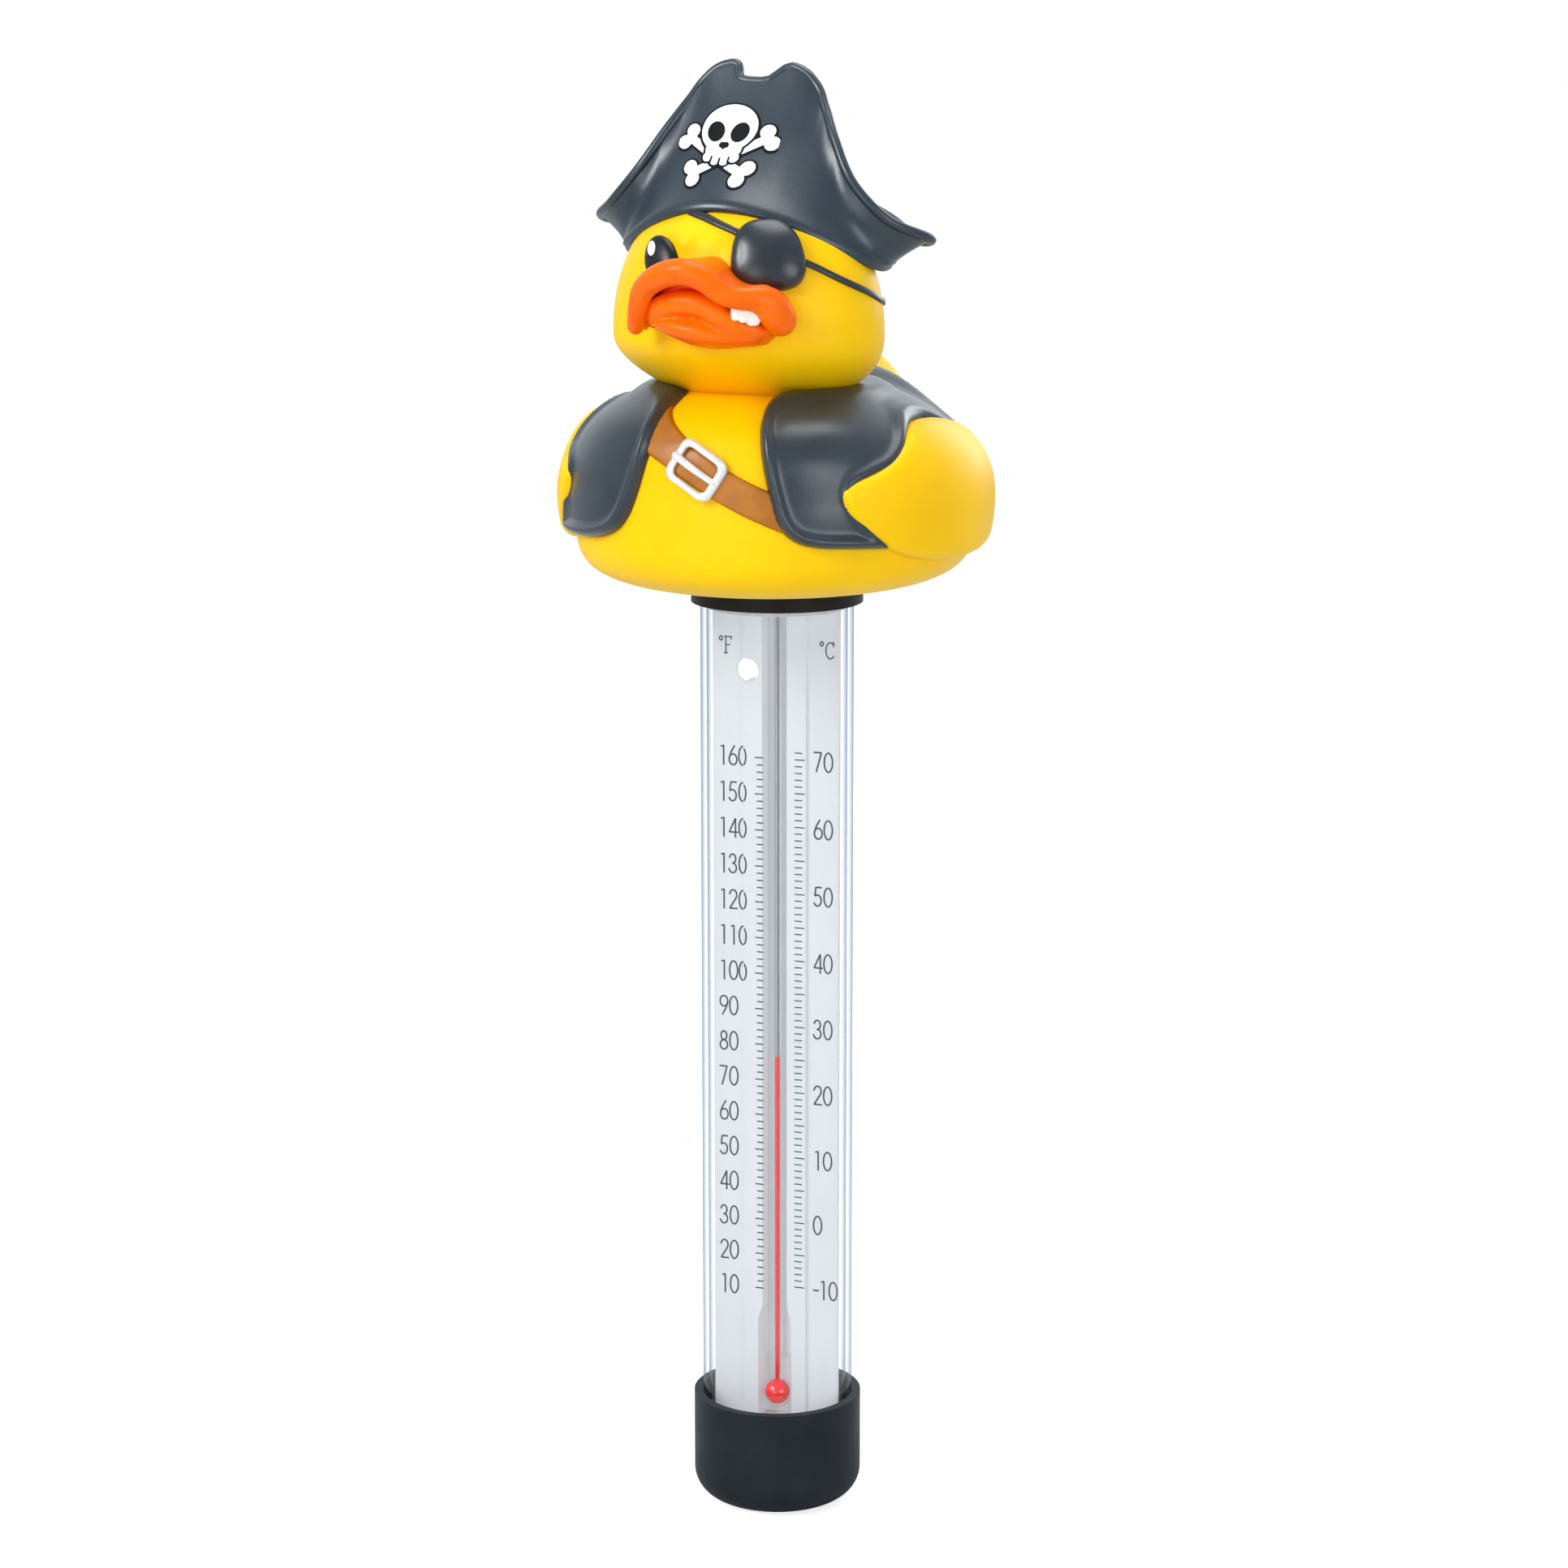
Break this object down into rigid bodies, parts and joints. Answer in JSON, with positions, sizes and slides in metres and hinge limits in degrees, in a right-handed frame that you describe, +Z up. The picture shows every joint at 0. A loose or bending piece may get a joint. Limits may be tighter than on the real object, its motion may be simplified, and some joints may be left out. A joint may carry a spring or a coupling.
{
  "type": "floating pool thermometer",
  "caption": "Floating pool thermometer: clear tube with a scale card and red spirit column under a hollow duck float in a pirate hat and coat.",
  "frame": {"origin": "on the tube's axis at the flat foot of the end cap", "axes": "+Z up along the tube, the duck faces -Y, +X is the duck's left"},
  "size_m": [0.07, 0.0843, 0.2386],
  "materials": {
    "dark_cap": "satin moulded plastic",
    "dark_collar": "satin moulded plastic",
    "steel": "plain turned steel",
    "seal_rubber": "smooth rubber",
    "foam": "closed-cell foam",
    "clear_plastic": "clear acrylic",
    "card_white": "smooth white plastic with a printed scale",
    "glass": "clear drawn glass",
    "red_liquid": "red spirit",
    "bush_plastic": "moulded plastic",
    "duck_yellow": "soft gloss vinyl",
    "coat_slate": "satin painted vinyl",
    "hat_slate": "satin painted vinyl",
    "belt_brown": "painted vinyl",
    "buckle_silver": "bright silver paint",
    "bill_orange": "gloss painted vinyl",
    "tooth_white": "gloss paint",
    "eye_black": "gloss paint",
    "patch_black": "satin painted vinyl",
    "emblem_white": "printed white"
  },
  "bodies": {
    "stem": {"end_cap": "dark_cap", "ballast_weight": "steel", "cap_gasket": "seal_rubber", "foot_pad": "foam", "clear_tube": "clear_plastic", "scale_card": "card_white", "capillary_glass": "glass", "bulb_liquid": "red_liquid", "liquid_column": "red_liquid", "head_pad": "foam", "collar_gasket": "seal_rubber", "collar": "dark_collar", "swivel_clip": "steel"},
    "meniscus": {"liquid_tip": "red_liquid"},
    "duck": {"float_bush": "bush_plastic", "duck_body": "duck_yellow", "duck_head": "duck_yellow", "left_wing": "duck_yellow", "right_wing": "duck_yellow", "coat": "coat_slate", "shoulder_belt": "belt_brown", "buckle_frame": "buckle_silver", "buckle_prong": "buckle_silver", "upper_bill": "bill_orange", "lower_bill": "bill_orange", "teeth": "tooth_white", "right_eye": "eye_black", "eye_patch": "patch_black", "patch_strap": "patch_black", "hat": "hat_slate", "hat_emblem": "emblem_white"}
  },
  "joints": [
    {"name": "liquid_rise", "type": "slide", "parent": "stem", "child": "meniscus", "axis": [0, 0, 1], "range_m": [-0.0401, 0.0505], "deforming": ["liquid_column"]},
    {"name": "float_swivel", "type": "hinge", "parent": "stem", "child": "duck", "pos_m": [0, 0, 0.16], "axis": [0, 0, 1], "continuous": true}
  ]
}
